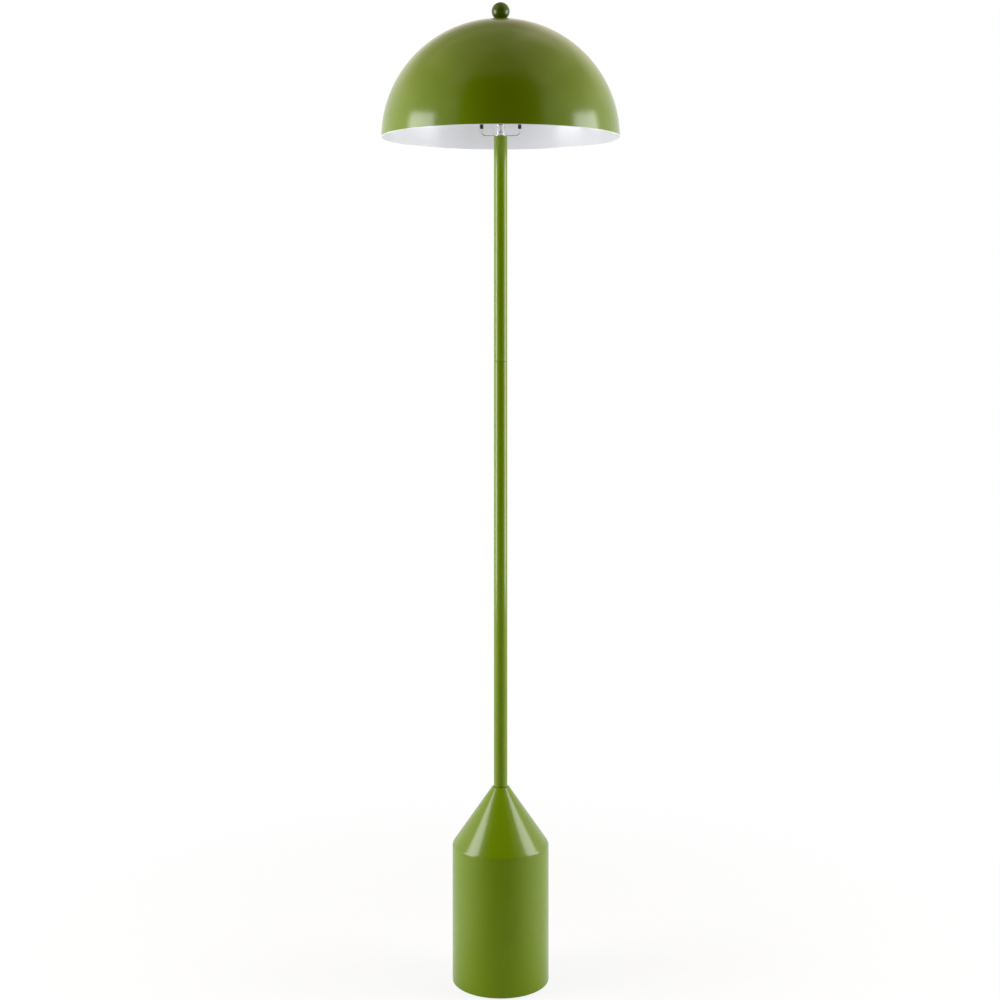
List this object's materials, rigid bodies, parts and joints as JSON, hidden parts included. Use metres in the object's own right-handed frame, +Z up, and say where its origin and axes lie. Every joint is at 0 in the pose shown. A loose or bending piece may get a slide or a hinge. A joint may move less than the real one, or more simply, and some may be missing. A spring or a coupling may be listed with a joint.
{
  "type": "floor lamp",
  "caption": "Floor lamp with a dome metal shade on a wire harp, a straight tube pole and a weighted cylinder base with a cone top.",
  "frame": {"origin": "on the floor under the middle of the felt, on the axis of the pole", "axes": "+Z up along the pole; the front of the lamp and the switch knob face -Y, the lead inlet faces +Y"},
  "size_m": [0.3759, 0.376, 1.5419],
  "materials": {
    "green_paint": "glossy leaf green powder coat",
    "shade_paint": "glossy leaf green outside, satin white inside",
    "nickel_plate": "bright nickel plate",
    "zinc_steel": "zinc plated steel",
    "brass_parts": "plain turned brass",
    "concrete": "cast concrete, rough",
    "black_felt": "pressed black felt",
    "black_nylon": "moulded black nylon",
    "white_nylon": "moulded white nylon",
    "black_sleeve": "black oxide sleeve",
    "black_rubber": "soft black washer",
    "lead_sheath": "clear and white flexible sheath",
    "card_liner": "brown insulating card",
    "brown_phenolic": "moulded dark phenolic",
    "knob_plastic": "moulded black knob",
    "bulb_metal": "plain aluminium",
    "opal_plastic": "opal diffuser"
  },
  "bodies": {
    "stand": {"felt_pad": "black_felt", "base_plate": "zinc_steel", "base_plate_screws": "zinc_steel", "base_shell": "green_paint", "base_weight": "concrete", "base_cone": "green_paint", "tie_rod": "zinc_steel", "rod_nuts": "zinc_steel", "rod_washers": "zinc_steel", "cord_gland": "black_nylon", "gland_nut": "black_nylon", "connector_block": "white_nylon", "connector_screws": "zinc_steel", "inner_lead": "lead_sheath", "lead_conductors": "brass_parts", "pole_bottom_plug": "zinc_steel", "pole_lower": "green_paint", "pole_joint_socket": "zinc_steel", "pole_joint_stud": "zinc_steel", "pole_upper": "green_paint", "pole_top_plug": "zinc_steel", "nipple": "brass_parts", "harp_saddle": "nickel_plate", "socket_cap": "nickel_plate", "socket_set_screw": "zinc_steel", "socket_shell": "nickel_plate", "socket_liner": "card_liner", "socket_core": "brown_phenolic", "socket_screw_shell": "brass_parts", "socket_contact": "brass_parts", "socket_terminals": "brass_parts"},
    "harp": {"harp_wire": "nickel_plate", "harp_seat": "nickel_plate", "shade_washer": "black_rubber"},
    "sleeve_left": {"harp_sleeve_left": "black_sleeve"},
    "sleeve_right": {"harp_sleeve_right": "black_sleeve"},
    "shade": {"shade": "shade_paint"},
    "finial": {"finial_ball": "green_paint", "finial_insert": "brass_parts"},
    "switch": {"switch_spindle": "brass_parts", "switch_knob": "knob_plastic"},
    "bulb": {"bulb_contact": "bulb_metal", "bulb_insulator": "black_nylon", "bulb_screw_cap": "bulb_metal", "bulb_housing": "white_nylon", "bulb_led_board": "bulb_metal", "bulb_diffuser": "opal_plastic"}
  },
  "joints": [
    {"name": "harp_lift", "type": "slide", "parent": "stand", "child": "harp", "axis": [0, 0, 1], "range_m": [0, 0.05]},
    {"name": "sleeve_left_slide", "type": "slide", "parent": "harp", "child": "sleeve_left", "axis": [0, 0, 1], "range_m": [0, 0.0075]},
    {"name": "sleeve_right_slide", "type": "slide", "parent": "harp", "child": "sleeve_right", "axis": [0, 0, 1], "range_m": [0, 0.0075]},
    {"name": "shade_lift", "type": "slide", "parent": "harp", "child": "shade", "axis": [0, 0, 1], "range_m": [0, 0.2]},
    {"name": "finial_unscrew", "type": "slide", "parent": "shade", "child": "finial", "axis": [0, 0, 1], "range_m": [0, 0.014]},
    {"name": "switch_turn", "type": "hinge", "parent": "stand", "child": "switch", "pos_m": [0, -0.025, 1.3687], "axis": [0, 1, 0], "continuous": true},
    {"name": "bulb_unscrew", "type": "slide", "parent": "stand", "child": "bulb", "axis": [0, 0, 1], "range_m": [0, 0.022]}
  ]
}
